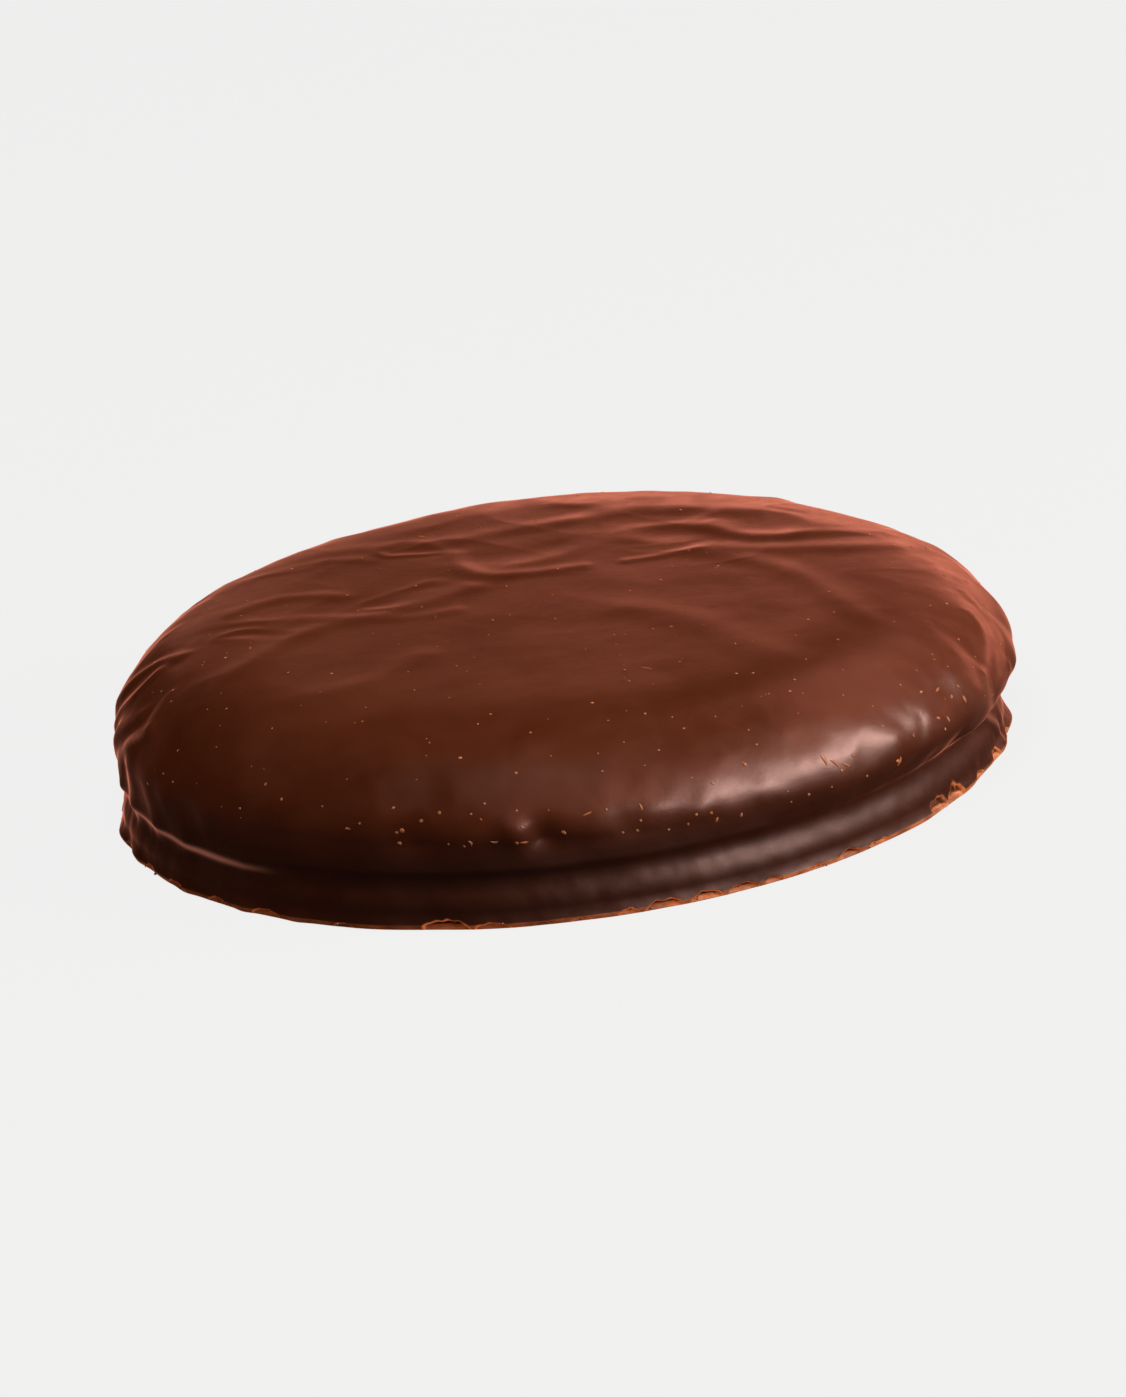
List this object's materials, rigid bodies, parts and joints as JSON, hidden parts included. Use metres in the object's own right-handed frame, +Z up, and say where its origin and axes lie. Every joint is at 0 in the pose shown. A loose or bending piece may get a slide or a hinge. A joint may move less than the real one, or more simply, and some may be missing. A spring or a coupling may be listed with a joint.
{
  "type": "chocolate-coated filled cracker",
  "caption": "Round flat filled cracker enrobed in dark chocolate, with a nearly flat rippled top, rounded shoulder, pinched waist and a thin chipped foot.",
  "frame": {"origin": "middle of the footprint's bounding box, on the flat underside", "axes": "+Z up through the rippled top, -Y towards the viewer, +X to the viewer's right"},
  "size_m": [0.0656, 0.0656, 0.0129],
  "materials": {
    "dark_chocolate": "satin dark chocolate"
  },
  "bodies": {
    "root": {"coated_cracker": "dark_chocolate"}
  },
  "joints": []
}
